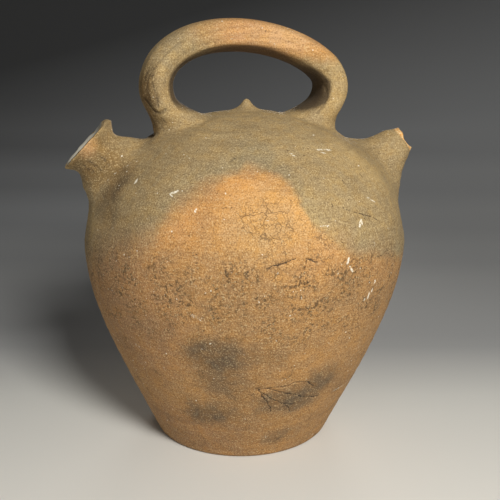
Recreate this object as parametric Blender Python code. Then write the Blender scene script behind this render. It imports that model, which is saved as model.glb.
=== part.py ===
# Terracotta water jug with a loop handle: a thrown ovoid body with a closed dome, a short filling mouth
# on one shoulder and the stub of a broken pouring spout on the other, all one fired piece. It is given as a
# lower and an upper half, parted level at the belly, so that each half is open to its hollow.
# Metres, +Z up. The origin is the centre of the flat underside, -X is the mouth's side and +X the spout's.

from math import cos, hypot, pi, radians, sin

import bmesh
import bpy
from mathutils import Matrix, Vector

# Body, thrown on the wheel
FOOT_RADIUS = 0.0700
BELLY_RADIUS = 0.1250
BELLY_HEIGHT = 0.1565
CROWN_HEIGHT = 0.2528
FOOT_FLARE = 0.470          # how far the wall leans out above the foot, per metre of height
FOOT_PULL = 0.0590          # height over which the foot's slope is felt
BELLY_PULL = 0.0445         # height over which the belly's upright wall is felt
FOOT_EDGE = 0.0018          # worn rounding of the foot's edge
BODY_LEAN = 0.0165          # drift of the whole jug towards the spout, per metre of height
WALL = 0.0065
FLOOR = 0.0090

# Nub in the middle of the dome
NUB_HEIGHT = 0.0082
NUB_RADIUS = 0.0118

# Filling mouth, a short trumpet pulled out of the shoulder
MOUTH_SEAT = radians(35.5)  # place up the dome, 0 at the belly and 90 degrees at the crown
MOUTH_TILT = radians(44.0)  # rise of its axis above level
MOUTH_LENGTH = 0.0255
MOUTH_RADIUS = 0.0240
MOUTH_THROAT = 0.0199       # outer radius where the collar is narrowest
MOUTH_SPREAD = 0.0297       # radius of its join with the body
MOUTH_SAG = 0.0045          # how much further down the shoulder that join reaches
MOUTH_WALL = 0.0044
LIP_THICKNESS = 0.0060
LIP_ROUNDING = 0.3          # share of its thickness

# Pouring spout, broken off short
SPOUT_SEAT = radians(32.0)
SPOUT_TILT = radians(38.5)
SPOUT_LENGTH = 0.0316
SPOUT_RADIUS = 0.0107       # at the break
SPOUT_ROOT = 0.0223         # radius near the body
SPOUT_SPREAD = 0.0330
SPOUT_SAG = 0.0138
SPOUT_BORE = 0.0048
BREAK_DEPTH = 0.0014        # unevenness of the broken end

# Loop handle over the crown, an oval arch of a thick strap
HANDLE_SPAN = 0.0674        # half the distance between its legs
HANDLE_RISE = 0.0373        # half the height of the oval it follows
HANDLE_MIDDLE = 0.0164      # height of that oval's centre above the crown
HANDLE_SHIFT = -0.0010
HANDLE_SKEW = -0.05         # drift of the arch towards the mouth, per metre of height
HANDLE_TILT = 0.072         # rise of the arch towards the mouth
HANDLE_THICKNESS = 0.0249
HANDLE_DEPTH = 0.0400
HANDLE_SEAT = radians(65.2)
HANDLE_ROOT_LENGTH = 0.0422
HANDLE_ROOT_DEPTH = 0.0500
HANDLE_SWEEP = radians(26)  # how far below its centre the oval's drawn part reaches
HANDLE_DEPTH_SWELL = 0.30   # how much deeper the legs get towards their roots
LEG_STEADINESS = 0.5        # how little the sections of the legs turn under the oval's middle

# Fineness of the cage that is smoothed
COLUMNS = 24
HANDLE_RINGS = 16
SQUARENESS = 2.5            # 2 is an oval strap, more is squarer
FITTING_ROUNDS = 4
SEAM_TOLERANCE = 0.0001     # how far off the belly's plane a face still counts as the ring that closes a half

# Clay
CLAY_COLOUR = (0.33, 0.19, 0.09, 1.0)
CLAY_ROUGHNESS = 0.85

DOME = CROWN_HEIGHT - BELLY_HEIGHT
COLUMN_ANGLE = 2 * pi / COLUMNS
REACH = tuple(k - 1.5 for k in range(4))        # columns of a patch, from the plane of the handle
LOOP_ANGLES = [radians(30 * k - 45) for k in range(12)]     # round a neck or the strap, from its lower side

# Rings of the skins, as places on the profile
FOOT_PLACES = (-0.94,)
LOWER_PLACES = tuple(-k / 5 for k in range(4, -1, -1))
NECK_PLACES = (13 / 90, 26 / 90, 39 / 90, 50 / 90)
HANDLE_PLACES = (54 / 90, 60.5 / 90, 67 / 90, 73.5 / 90)
UPPER_PLACE = 79.5 / 90
INNER_UPPER_PLACES = (63 / 90, 77 / 90)
FLOOR_RINGS = (0.45, 0.85)                                  # shares of the floor's radius
NUB_RINGS = ((1, -0.05), (0.52, 0.32), (0.25, 0.78), (0, 1))    # shares of its radius and of its height

# Rings of the necks, as shares of the length, of the widening and of the sag that are left there
MOUTH_RINGS = ((0.20, 0.45), (0.42, 0.12), (0.68, 0))
MOUTH_BORE_RINGS = ((0.14, 0.34), (0.60, 0))
SPOUT_RINGS = ((0.16, 1, 0.50), (0.40, 0.70, 0.20), (0.64, 0.46, 0.06), (0.85, 0.22, 0))
SPOUT_BORE_RINGS = ((0.10, 0.50, 0.20), (0.50, 0.15, 0))


def profile(place, inset=0.0):
    """Radius and height of the wall: place is -1 at the foot, 0 at the belly and 1 at the crown."""
    if place < 0:
        t = 1 + place
        foot = Vector((FOOT_RADIUS, 0))
        above_foot = Vector((FOOT_RADIUS + FOOT_FLARE * FOOT_PULL, FOOT_PULL))
        below_belly = Vector((BELLY_RADIUS, BELLY_HEIGHT - BELLY_PULL))
        belly = Vector((BELLY_RADIUS, BELLY_HEIGHT))
        point = ((1 - t) ** 3 * foot + 3 * t * (1 - t) ** 2 * above_foot
                 + 3 * t ** 2 * (1 - t) * below_belly + t ** 3 * belly)
        along = ((1 - t) ** 2 * (above_foot - foot) + 2 * t * (1 - t) * (below_belly - above_foot)
                 + t ** 2 * (belly - below_belly))
    else:
        angle = place * pi / 2
        point = Vector((BELLY_RADIUS * cos(angle), BELLY_HEIGHT + DOME * sin(angle)))
        along = Vector((-BELLY_RADIUS * sin(angle), DOME * cos(angle)))
    along.normalize()
    return point.x - inset * along.y, point.y + inset * along.x


def on_dome(side, seat, down, across, inset=0.0):
    """Point of the dome some way down and across from a seat, on the mouth's side (-1) or the spout's (1)."""
    slope = hypot(BELLY_RADIUS * sin(seat), DOME * cos(seat))
    radius, height = profile((seat - down / slope) / (pi / 2), inset)
    turn = across / radius
    return Vector((side * radius * cos(turn), radius * sin(turn), height))


def outer_points():
    """Profile of the outer skin, from the middle of the underside to the tip of the nub."""
    points = [(0, 0), (FOOT_RADIUS - FOOT_EDGE, 0), profile(-1 + FOOT_EDGE / (3 * FOOT_PULL))]
    points += [profile(place) for place in (FOOT_PLACES + LOWER_PLACES + NECK_PLACES + HANDLE_PLACES
                                            + (UPPER_PLACE,))]
    points += [(wide * NUB_RADIUS, CROWN_HEIGHT + high * NUB_HEIGHT) for wide, high in NUB_RINGS]
    return points


def inner_points():
    """Profile of the inner skin, from the middle of the floor to the middle of the dome."""
    floor_radius = FOOT_RADIUS + FOOT_FLARE * FLOOR - WALL
    points = [(0, FLOOR)] + [(share * floor_radius, FLOOR) for share in FLOOR_RINGS]
    points += [profile(place, WALL) for place in LOWER_PLACES + NECK_PLACES + INNER_UPPER_PLACES]
    points += [(0, CROWN_HEIGHT - WALL)]
    return points


def turn_skin(bm, points):
    """Spin a profile round the axis and return the grid of its vertices, by ring and column."""
    ring_of = bm.verts.layers.int["ring"]
    known = set(bm.verts)
    chain = []
    for ring, (radius, height) in enumerate(points):
        vert = bm.verts.new((radius * cos(COLUMN_ANGLE / 2), radius * sin(COLUMN_ANGLE / 2), height))
        vert[ring_of] = ring
        chain.append(vert)
    edges = [bm.edges.new(pair) for pair in zip(chain, chain[1:])]
    bmesh.ops.spin(bm, geom=chain + edges, cent=(0, 0, 0), axis=(0, 0, 1), angle=2 * pi,
                   steps=COLUMNS, use_merge=True)
    made = [vert for vert in bm.verts if vert not in known]
    bmesh.ops.remove_doubles(bm, verts=made, dist=0.00001)
    grid = {}
    for vert in bm.verts:
        if vert not in known:
            column = round(vert.co.xy.angle_signed(Vector((1, 0)), 0) / COLUMN_ANGLE - 0.5) % COLUMNS
            grid[vert[ring_of], column] = vert
    return grid


def cut_patch(bm, grid, side, lowest):
    """Take three by three faces out of a skin, and return the twelve vertices round the hole."""
    def at(ring, across):
        column = across - 0.5 if side > 0 else COLUMNS / 2 - across - 0.5
        return grid[lowest + ring, int(column) % COLUMNS]

    inside = {at(ring, across) for ring in range(4) for across in REACH}
    faces = [face for face in bm.faces if all(vert in inside for vert in face.verts)]
    walk = ([(0, across) for across in REACH] + [(1, REACH[3]), (2, REACH[3])]
            + [(3, across) for across in reversed(REACH)] + [(2, REACH[0]), (1, REACH[0])])
    loop = [at(ring, across) for ring, across in walk]
    bmesh.ops.delete(bm, geom=faces, context="FACES")
    return loop


def loop_edges(bm, loop):
    return [bm.edges.get(pair) for pair in zip(loop, loop[1:] + loop[:1])]


def place_loop(loop, places):
    for vert, place in zip(loop, places):
        vert.co = place


def extrude_loop(bm, loop, places):
    """Extrude a closed loop and put its new vertices at the places given, in the same order."""
    made = set(bmesh.ops.extrude_edge_only(bm, edges=loop_edges(bm, loop))["geom"])
    twins = [next(edge.other_vert(vert) for edge in vert.link_edges if edge.other_vert(vert) in made)
             for vert in loop]
    place_loop(twins, places)
    return twins


def join_loops(bm, first, second):
    """Close the gap between two loops, vertex by vertex."""
    for k, vert in enumerate(first):
        bm.faces.new((vert, first[k - 1], second[k - 1], second[k]))


def sagging(half_length, sag, angle):
    """Distance down from a seat on an oval whose lower side reaches further by the sag."""
    return half_length * cos(angle) + sag * (1 + cos(angle)) / 2


def root_places(side, seat, half_length, half_depth, sag=0.0, inset=0.0):
    """Oval on the dome round a seat."""
    return [on_dome(side, seat, sagging(half_length, sag, angle), half_depth * sin(angle), inset)
            for angle in LOOP_ANGLES]


def neck_places(side, seat, tilt, distance, radius, sag=0.0, uneven=0.0):
    """Oval round the axis of a neck, some distance out from its seat on the dome."""
    axis = Vector((side * cos(tilt), 0, sin(tilt)))
    down = Vector((side * sin(tilt), 0, -cos(tilt)))
    across = Vector((0, 1, 0))
    centre = on_dome(side, seat, 0, 0)
    places = []
    for angle in LOOP_ANGLES:
        reach = distance + uneven * (sin(2 * angle + 1.0) + 0.6 * sin(5 * angle + 0.4))
        places.append(centre + axis * reach + down * sagging(radius, sag, angle) + across * radius * sin(angle))
    return places


def sharpen(bm, loop):
    crease = bm.edges.layers.float["crease_edge"]
    for edge in loop_edges(bm, loop):
        edge[crease] = 1.0


def make_neck(bm, outer_loop, inner_loop, side, seat, tilt, outer_rings, inner_rings):
    """Draw a neck out of the two skins by rings of distance, radius and unevenness, and join it at the end."""
    for ring in outer_rings:
        outer_loop = extrude_loop(bm, outer_loop, neck_places(side, seat, tilt, *ring))
    for ring in inner_rings:
        inner_loop = extrude_loop(bm, inner_loop, neck_places(side, seat, tilt, *ring))
    join_loops(bm, outer_loop, inner_loop)
    return outer_loop, inner_loop


def make_mouth(bm, outer, inner, lowest_outer, lowest_inner):
    outer_loop = cut_patch(bm, outer, -1, lowest_outer)
    inner_loop = cut_patch(bm, inner, -1, lowest_inner)
    place_loop(outer_loop, root_places(-1, MOUTH_SEAT, MOUTH_SPREAD, MOUTH_SPREAD, MOUTH_SAG))
    place_loop(inner_loop, root_places(-1, MOUTH_SEAT, MOUTH_SPREAD, MOUTH_SPREAD, MOUTH_SAG, WALL))
    flare = MOUTH_SPREAD - MOUTH_THROAT
    throat_bore = MOUTH_THROAT - MOUTH_WALL
    rounding = LIP_ROUNDING * LIP_THICKNESS
    outer_rings = [(share * MOUTH_LENGTH, MOUTH_THROAT + left * flare, left * MOUTH_SAG)
                   for share, left in MOUTH_RINGS]
    outer_rings += [(MOUTH_LENGTH - rounding, MOUTH_RADIUS), (MOUTH_LENGTH, MOUTH_RADIUS - rounding)]
    inner_rings = [(share * MOUTH_LENGTH, throat_bore + left * flare, left * MOUTH_SAG)
                   for share, left in MOUTH_BORE_RINGS]
    inner_rings += [(MOUTH_LENGTH - rounding, MOUTH_RADIUS - LIP_THICKNESS),
                    (MOUTH_LENGTH, MOUTH_RADIUS - LIP_THICKNESS + rounding)]
    make_neck(bm, outer_loop, inner_loop, -1, MOUTH_SEAT, MOUTH_TILT, outer_rings, inner_rings)


def make_spout(bm, outer, inner, lowest_outer, lowest_inner):
    outer_loop = cut_patch(bm, outer, 1, lowest_outer)
    inner_loop = cut_patch(bm, inner, 1, lowest_inner)
    place_loop(outer_loop, root_places(1, SPOUT_SEAT, SPOUT_SPREAD, SPOUT_SPREAD, SPOUT_SAG))
    bore_spread = SPOUT_ROOT - WALL
    place_loop(inner_loop, root_places(1, SPOUT_SEAT, bore_spread, bore_spread, SPOUT_SAG / 2, WALL))
    taper = SPOUT_ROOT - SPOUT_RADIUS
    funnel = bore_spread - SPOUT_BORE
    outer_rings = [(share * SPOUT_LENGTH, SPOUT_RADIUS + left * taper, sag * SPOUT_SAG)
                   for share, left, sag in SPOUT_RINGS]
    outer_rings += [(SPOUT_LENGTH, SPOUT_RADIUS, 0, BREAK_DEPTH)]
    inner_rings = [(share * SPOUT_LENGTH, SPOUT_BORE + left * funnel, sag * SPOUT_SAG)
                   for share, left, sag in SPOUT_BORE_RINGS]
    inner_rings += [(SPOUT_LENGTH - BREAK_DEPTH, SPOUT_BORE, 0, BREAK_DEPTH / 2)]
    break_edge, bore_edge = make_neck(bm, outer_loop, inner_loop, 1, SPOUT_SEAT, SPOUT_TILT,
                                      outer_rings, inner_rings)
    sharpen(bm, break_edge)
    sharpen(bm, bore_edge)


def strap_places(angle):
    """Section of the handle's strap, at an angle round the oval that it follows."""
    level, height = cos(angle), sin(angle)
    top = max(0, height)
    across = HANDLE_SHIFT + HANDLE_SPAN * level + HANDLE_SKEW * HANDLE_RISE * top
    up = CROWN_HEIGHT + HANDLE_MIDDLE + HANDLE_RISE * height - HANDLE_TILT * HANDLE_SPAN * level * top
    outward = Vector((level / HANDLE_SPAN, 0, height / HANDLE_RISE * (1 if height > 0 else LEG_STEADINESS)))
    outward.normalize()
    half_depth = HANDLE_DEPTH / 2 * (1 + HANDLE_DEPTH_SWELL * ((1 - height) / 2) ** 2)

    def bulge(value):
        return abs(value) ** (2 / SQUARENESS) * (1 if value > 0 else -1)

    return [Vector((across, 0, up)) + outward * HANDLE_THICKNESS / 2 * bulge(cos(turn))
            + Vector((0, half_depth * bulge(sin(turn)), 0)) for turn in LOOP_ANGLES]


def make_handle(bm, outer, lowest):
    """Sweep the strap from the root at the mouth's side to the root at the spout's side."""
    loop = cut_patch(bm, outer, -1, lowest)
    last_loop = cut_patch(bm, outer, 1, lowest)
    half_length, half_depth = HANDLE_ROOT_LENGTH / 2, HANDLE_ROOT_DEPTH / 2
    place_loop(loop, root_places(-1, HANDLE_SEAT, half_length, half_depth))
    place_loop(last_loop, root_places(1, HANDLE_SEAT, half_length, half_depth))
    start, end = pi + HANDLE_SWEEP, -HANDLE_SWEEP
    for step in range(HANDLE_RINGS):
        loop = extrude_loop(bm, loop, strap_places(start + (end - start) * step / (HANDLE_RINGS - 1)))
    join_loops(bm, loop, last_loop)


def smoothed(vert, crease):
    """Where one round of subdivision smoothing puts a vertex."""
    sharp = [edge for edge in vert.link_edges if edge[crease] > 0]
    if len(sharp) == 2:
        return 0.75 * vert.co + 0.125 * sum((edge.other_vert(vert).co for edge in sharp), Vector((0, 0, 0)))
    count = len(vert.link_edges)
    faces = sum((face.calc_center_median() for face in vert.link_faces), Vector((0, 0, 0))) / count
    ends = sum((edge.other_vert(vert).co for edge in vert.link_edges), Vector((0, 0, 0))) / count
    return (faces + ends + (count - 2) * vert.co) / count


def fit_cage(bm):
    """Move the cage until its smoothed surface passes through the places worked out for its vertices."""
    crease = bm.edges.layers.float["crease_edge"]
    wanted = {vert: vert.co.copy() for vert in bm.verts}
    for _ in range(FITTING_ROUNDS):
        moves = [(vert, wanted[vert] - smoothed(vert, crease)) for vert in bm.verts]
        for vert, move in moves:
            vert.co += move


def make_clay():
    clay = bpy.data.materials.new("terracotta")
    clay.use_nodes = True
    shader = clay.node_tree.nodes["Principled BSDF"]
    shader.inputs["Base Color"].default_value = CLAY_COLOUR
    shader.inputs["Roughness"].default_value = CLAY_ROUGHNESS
    shader.inputs["Metallic"].default_value = 0.0
    clay.diffuse_color = CLAY_COLOUR
    return clay


def add_piece(name, cage, clay):
    """Make an object of a cage, with the smoothing that turns it into the finished surface."""
    mesh = bpy.data.meshes.new(name)
    cage.to_mesh(mesh)
    mesh.shade_smooth()
    mesh.materials.append(clay)
    piece = bpy.data.objects.new(name, mesh)
    bpy.context.scene.collection.objects.link(piece)
    smoothing = piece.modifiers.new("Smoothing", "SUBSURF")
    smoothing.levels = 1
    smoothing.render_levels = 1
    smoothing.use_limit_surface = False
    cutting = piece.modifiers.new("Triangles", "TRIANGULATE")
    cutting.quad_method = "SHORTEST_DIAGONAL"


def make_half(bm, name, side, clay):
    """Take the half of the jug below (-1) or above (1) its belly, closed by the flat ring between the skins."""
    half = bm.copy()
    other_half = [face for face in half.faces
                  if side * (BELLY_HEIGHT - face.calc_center_median().z) > SEAM_TOLERANCE]
    bmesh.ops.delete(half, geom=other_half, context="FACES")
    bmesh.ops.recalc_face_normals(half, faces=half.faces)
    add_piece(name, half, clay)
    half.free()


def make_jug():
    bm = bmesh.new()
    bm.verts.layers.int.new("ring")
    bm.edges.layers.float.new("crease_edge")
    outer = turn_skin(bm, outer_points())
    inner = turn_skin(bm, inner_points())
    sharpen(bm, [outer[1, column] for column in range(COLUMNS)])

    outer_neck = 3 + len(FOOT_PLACES + LOWER_PLACES)
    inner_neck = 1 + len(FLOOR_RINGS + LOWER_PLACES)
    make_mouth(bm, outer, inner, outer_neck, inner_neck)
    make_spout(bm, outer, inner, outer_neck, inner_neck)
    make_handle(bm, outer, outer_neck + len(NECK_PLACES))

    outer_belly = [outer[outer_neck - 1, column] for column in range(COLUMNS)]
    inner_belly = [inner[inner_neck - 1, column] for column in range(COLUMNS)]
    sharpen(bm, outer_belly)
    sharpen(bm, inner_belly)
    fit_cage(bm)
    join_loops(bm, outer_belly, inner_belly)
    lean = Matrix.Shear("XY", 4, (BODY_LEAN, 0))
    bmesh.ops.transform(bm, matrix=lean, verts=bm.verts)

    clay = make_clay()
    make_half(bm, "jug_lower", -1, clay)
    make_half(bm, "jug_upper", 1, clay)
    bm.free()


for thing in list(bpy.data.objects):
    bpy.data.objects.remove(thing, do_unlink=True)
make_jug()
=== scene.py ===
# The looks of a terracotta water jug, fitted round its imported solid. It is one fired piece, so there is one
# piece here: the solid's surface made fine, with the potter's marks, the breaks and the wear pressed into it.

from math import cos, pi, radians, sin

import bmesh
import bpy
import numpy as np
from mathutils import Matrix, Vector, noise
from mathutils.bvhtree import BVHTree


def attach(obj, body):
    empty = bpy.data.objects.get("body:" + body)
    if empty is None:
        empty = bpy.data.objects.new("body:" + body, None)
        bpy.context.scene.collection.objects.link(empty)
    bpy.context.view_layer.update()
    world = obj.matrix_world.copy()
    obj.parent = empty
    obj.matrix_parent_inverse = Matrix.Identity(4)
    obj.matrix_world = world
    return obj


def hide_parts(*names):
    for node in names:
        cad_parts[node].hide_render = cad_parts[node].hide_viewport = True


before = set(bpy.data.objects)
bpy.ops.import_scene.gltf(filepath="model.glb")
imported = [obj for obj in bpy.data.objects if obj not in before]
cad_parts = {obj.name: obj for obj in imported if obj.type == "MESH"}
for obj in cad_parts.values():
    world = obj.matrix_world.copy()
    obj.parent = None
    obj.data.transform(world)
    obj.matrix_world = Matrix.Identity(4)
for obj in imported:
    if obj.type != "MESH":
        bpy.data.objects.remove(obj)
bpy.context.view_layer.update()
print("frame loaded")

mm = 0.001
farAway = 9.0       # more than any distance on the jug, in metres and in half widths alike


# Helpers

def toLinear(hexColour):
    parts = [int(hexColour[k:k + 2], 16) / 255 for k in (1, 3, 5)]
    return [part / 12.92 if part <= 0.04045 else ((part + 0.055) / 1.055) ** 2.4 for part in parts] + [1.0]


def addNode(tree, kind, settings=None, inputs=None, output=0):
    # Inputs come by their names, or as a list in their order. A socket among them is linked, and a value is set.
    node = tree.nodes.new(kind)
    for key, value in (settings or {}).items():
        setattr(node, key, value)
    for key, value in enumerate(inputs) if isinstance(inputs, list) else (inputs or {}).items():
        if isinstance(value, bpy.types.NodeSocket):
            tree.links.new(value, node.inputs[key])
        else:
            node.inputs[key].default_value = value
    return node.outputs[output] if node.outputs else node


def inMetres(points):
    return np.array(points, float) * mm


def fade(distance, reach):
    # 1 at no distance, and softly down to 0 at the reach
    part = np.clip(1 - distance / reach, 0, 1)
    return part * part * (3 - 2 * part)


def grain(points, size, shift=0.0, octaves=1):
    # Noise of a real size; each shift gives another part of it
    offset = Vector((shift, -1.7 * shift, 0.6 * shift))
    return np.array([noise.fractal(Vector(point) / size + offset, 0.9, 2.1, octaves) for point in points])


def distanceTo(points, place):
    return np.linalg.norm(points - place, axis=1)


def pathDistance(points, path):
    # Distance of each point from a bent line, and how far along that line it is nearest
    best = np.full(len(points), farAway)
    along = np.zeros(len(points))
    walked = 0.0
    for start, end in zip(path[:-1], path[1:]):
        line = end - start
        length = np.linalg.norm(line)
        part = np.clip((points - start) @ line / length ** 2, 0, 1)
        distance = distanceTo(points - start, part[:, None] * line)
        nearer = distance < best
        best[nearer] = distance[nearer]
        along[nearer] = walked + part[nearer] * length
        walked += length
    return best, along


def layOn(skin, lines):
    # Each line keeps its numbers; its path is cut into short steps, and every point is set on the skin
    laid = []
    for line in lines:
        path = inMetres(line[-1])
        steps = [path[:1]]
        for start, end in zip(path[:-1], path[1:]):
            count = max(1, round(np.linalg.norm(end - start) / surface["lineStep"]))
            steps.append(start + np.linspace(0, 1, count + 1)[1:, None] * (end - start))
        onSkin = np.array([skin.find_nearest(Vector(point))[0] for point in np.concatenate(steps)])
        laid.append((*line[:-1], onSkin))
    return laid


# The jug's own places, in millimetres, with rises and the strap's sweep in degrees

places = {
    "leanPerHeight": 0.0165,
    "mouthSeat": (-98.3, 0, 212.4), "mouthRise": 44.0, "mouthLength": 25.5, "mouthRadius": 23.5,
    "rimInset": 1.5,
    "spoutSeat": (109.5, 0, 207.5), "spoutRise": 38.5, "spoutLength": 31.6, "spoutRadius": 10.7,
    "strapCentre": (3.4, 0, 269.2), "strapSpan": 67.4, "strapRise": 37.3, "strapSweep": 26.0, "strapSteps": 24,
    "strapHalfWidth": 20, "strapHalfThickness": 12.5,
}


def neckEnd(seat, rise, length, side):
    axis = np.array([side * cos(radians(rise)), 0, sin(radians(rise))])
    return inMetres(seat) + axis * length * mm, axis


mouthEnd, mouthAxis = neckEnd(places["mouthSeat"], places["mouthRise"], places["mouthLength"], -1)
spoutEnd, spoutAxis = neckEnd(places["spoutSeat"], places["spoutRise"], places["spoutLength"], 1)
# Downwards in the plane of the mouth
mouthDown = np.array([mouthAxis[0] * mouthAxis[2] / abs(mouthAxis[0]), 0, -abs(mouthAxis[0])])


def rimPoint(turn):
    # A place on the mouth's rim: 0 is its lowest point, and -90 its side towards the camera
    around = mouthDown * cos(radians(turn)) + np.array([0, 1, 0]) * sin(radians(turn))
    return mouthEnd + around * (places["mouthRadius"] - places["rimInset"]) * mm


def strapPath():
    sweep = places["strapSweep"]
    turns = np.radians(np.linspace(180 + sweep, -sweep, places["strapSteps"]))
    return inMetres([(places["strapCentre"][0] + places["strapSpan"] * cos(turn), 0,
                      places["strapCentre"][2] + places["strapRise"] * sin(turn)) for turn in turns])


# Cracks: half width and path in millimetres. They are pressed into the skin, and drawn thin and dark in the clay.
# The first seven make the fan near the foot, and the last two the forked crack behind.
fanHub = (-12.1, -100.7, 68.3)
fanFork = (-5.9, -101.4, 69)
bellyBend = (13.5, -123.3, 166.3)
cracks = [
    (0.50, [fanHub, fanFork, (1.2, -101.9, 69.2), (7, -101.7, 69.6), (12.7, -102.1, 71.4), (17.2, -101.6, 71.8),
            (23.7, -99.6, 70.2), (28.6, -96.4, 65.5), (31.9, -93.6, 62)]),
    (0.58, [fanFork, (-0.6, -100.7, 66.6), (6.5, -98.9, 63.1), (16.9, -96.2, 59.5), (20.6, -94.1, 56.6),
            (31.1, -89.8, 53.3), (36.5, -87.5, 52.4)]),
    (0.52, [fanHub, (-6.5, -98.7, 63), (-2.5, -97.3, 59.2), (2.3, -96.1, 56.2), (7.9, -94.4, 53.2),
            (12.8, -93.2, 51.3), (16.7, -92.5, 51.2)]),
    (0.42, [(7.9, -94.4, 53.2), (11.7, -92, 48.5), (14.9, -89, 43.1)]),
    (0.62, [fanHub, (-8.4, -97.9, 61.3), (-4.9, -95.8, 56.1), (-2.1, -93.7, 51), (-0.9, -91.9, 46.8)]),
    (0.42, [(-15.8, -98.8, 65.6), (-17.4, -96.4, 60.9)]),
    (0.42, [(4, -104.4, 75.6), (7.4, -104.7, 76.8), (9.9, -105.8, 80)]),
    (0.55, [(-13.2, -123.4, 161.7), (-9.3, -123.5, 163.7), (-4.8, -123.7, 164.1), (-0.9, -123.8, 165.2),
            (3, -123.9, 166.9), (5.7, -123.7, 167.3)]),
    (0.60, [bellyBend, (15.9, -123.2, 165.8), (19.3, -123, 164.2), (25.9, -121.9, 163.2)]),
    (0.50, [bellyBend, (12.4, -123.7, 162.9), (10.3, -124.3, 158.6), (8.3, -124.5, 154.8), (9.2, -124.1, 151.3),
            (7.9, -123.9, 148)]),
    (0.34, [(25.9, -121.9, 163.2), (30.3, -120.5, 167.5), (32, -119, 173.7)]),
    (0.36, [(-34.8, -118.9, 155.1), (-31.7, -119.8, 153.1), (-28, -120.5, 149.8)]),
    (0.40, [(46.4, -90.5, 213.6), (49.4, -92.3, 210.4)]),
    (0.36, [(41.6, -106.4, 197), (45, -106.8, 194.3), (49.7, -105.8, 192.5), (58, -103, 190.2),
            (72.3, -97.3, 184.1), (80.4, -94.8, 175.4)]),
    (0.34, [(32.2, -118.5, 176.2), (38.3, -116.8, 176.1), (42.1, -116.1, 173)]),
    (0.34, [(63.3, -108.8, 159.5), (68.2, -105.7, 159.8), (75.5, -101, 158.8)]),
    (0.50, [(-52, 92, 96), (-44, 98, 102), (-39, 103, 113), (-40, 107, 124)]),
    (0.42, [(-44, 98, 102), (-34, 102, 104), (-26, 106, 110)]),
]

# Dark flecks where the skin is rubbed away and dirt has settled: half width and path in millimetres
flecks = [
    (1.3, [(-39.4, -116.8, 162), (-37.1, -118, 158.9), (-36.6, -118.4, 155.7)]),
    (1.6, [(-26.8, -120.8, 161.6), (-23.8, -121.7, 159), (-25.7, -121.5, 156.5)]),
    (0.8, [(-23.8, -121.7, 159), (-18.8, -122.7, 158.6)]), (1.0, [(-13.2, -123.4, 161.7), (3, -123.9, 166.9)]),
    (2.2, [(-9.8, -123.4, 147.3), (-2.1, -124.1, 149.5), (7.2, -124, 148.8), (10.6, -124, 150.5),
            (22.5, -122.7, 150.6)]),
    (1.2, [(0.8, -122, 129.8), (6.8, -122, 131.3), (13, -121.8, 132.7), (17.1, -121.6, 133.7)]),
    (1.3, [(-59, -106.2, 171.6), (-56.2, -108.4, 168.1), (-54.9, -108.5, 170.6)]),
    (1.0, [(23.6, -120.6, 134.2), (32.6, -118.8, 134.2)]),
    (1.7, [(-88.2, -85.4, 154), (-85.3, -88.3, 151.9), (-81.8, -91.3, 150.5)]),
    (1.1, [(-85.2, -88.9, 156.8), (-81.6, -91.9, 160.7)]),
    (1.2, [(-77.1, -95.9, 154.8), (-74.3, -98.1, 151.9), (-71.3, -100.1, 150.9)]),
    (1.1, [(-72.3, -99.5, 160.2), (-70.6, -100.9, 157.8)]), (1.3, [(-50.2, -112.9, 155.1), (-48.5, -113.6, 152.5)]),
    (1.0, [(-85, -87.4, 140.6), (-82, -89.8, 139.1), (-77.3, -94.6, 142.9)]),
    (0.9, [(-26.6, -82.1, 225), (-22.8, -80.1, 227.2)]),
    (1.6, [(-62, 88, 150), (-54, 95, 144)]), (1.4, [(20, 121, 150), (32, 118, 147)]),
    (1.6, [(-71, -19, 262), (-72, -18, 270)]), (1.4, [(-70, -20, 276), (-66, -20, 284)]),
    (1.5, [(-73, -14, 275), (-71, -15, 283)]), (1.4, [(-66, -20, 258), (-64, -22, 266)]),
    (1.8, [(-119, -16, 214), (-113, -20, 211)]), (1.4, [(-115, -22, 218), (-108, -24, 214)]),
    (1.2, [(-106, -22, 222), (-101, -22, 217)]),
]

# Grooves and folds of the handling of wet clay: width, depth and path in millimetres
grooves = {
    "foldEnd": (2.2, 0.9, [(-75.5, -10, 262), (-73.1, -14, 259.8), (-69.3, -17, 253.1), (-64.9, -21, 251.6),
                           (-60.5, -23, 254.5)]),
    "foldEdge": (1.6, 0.4, [(-69.1, -20.5, 273), (-66.7, -21.6, 264.9), (-65.6, -22.2, 256.6)]),
    "strapSeam": (1.3, 0.14, [(-45, -20, 303), (-54.3, -19.8, 296.9), (-64.3, -19.6, 287.5), (-70.7, -18, 278.6),
                              (-73.7, -16, 268.2)]),
    "rightLeg": (2.4, 0.35, [(48.5, -5.4, 279.8), (53.5, -9.7, 276.9), (58.4, -11.9, 272.6), (61, -16.1, 267.5),
                            (60.9, -18.9, 261.8), (58.7, -21.1, 256.1), (53.8, -22.1, 251.1)]),
    "leftRoot": (4.0, 1.2, [(-66, 20, 240), (-67.5, 9, 235), (-68, -3, 234)]),
    "lowScratch": (1.4, 0.3, [(68.7, -63.8, 49.7), (57, -74, 50), (48.8, -80.3, 50.4)]),
    "pit": (1.3, 0.5, [(-26.6, -82.1, 225), (-22.8, -80.1, 227.2)]),
}

# Small blows and chips: where, how wide, how deep, all in millimetres
chips = [
    ((47, -53, 1.0), 5.0, 1.3), ((-66, -24, 1.0), 4.0, 0.9), ((30, 64, 1.0), 6.0, 1.4), ((70, 12, 1.5), 3.5, 0.8),
    ((-13, -101, 69.3), 4.0, 0.6), ((-20, -119.8, 129.4), 2.4, 0.5), ((88, 76, 141), 4.0, 0.8),
    ((-92, 60, 176), 3.4, 0.6), ((20, 112, 86), 5.0, 0.8),
]

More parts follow.
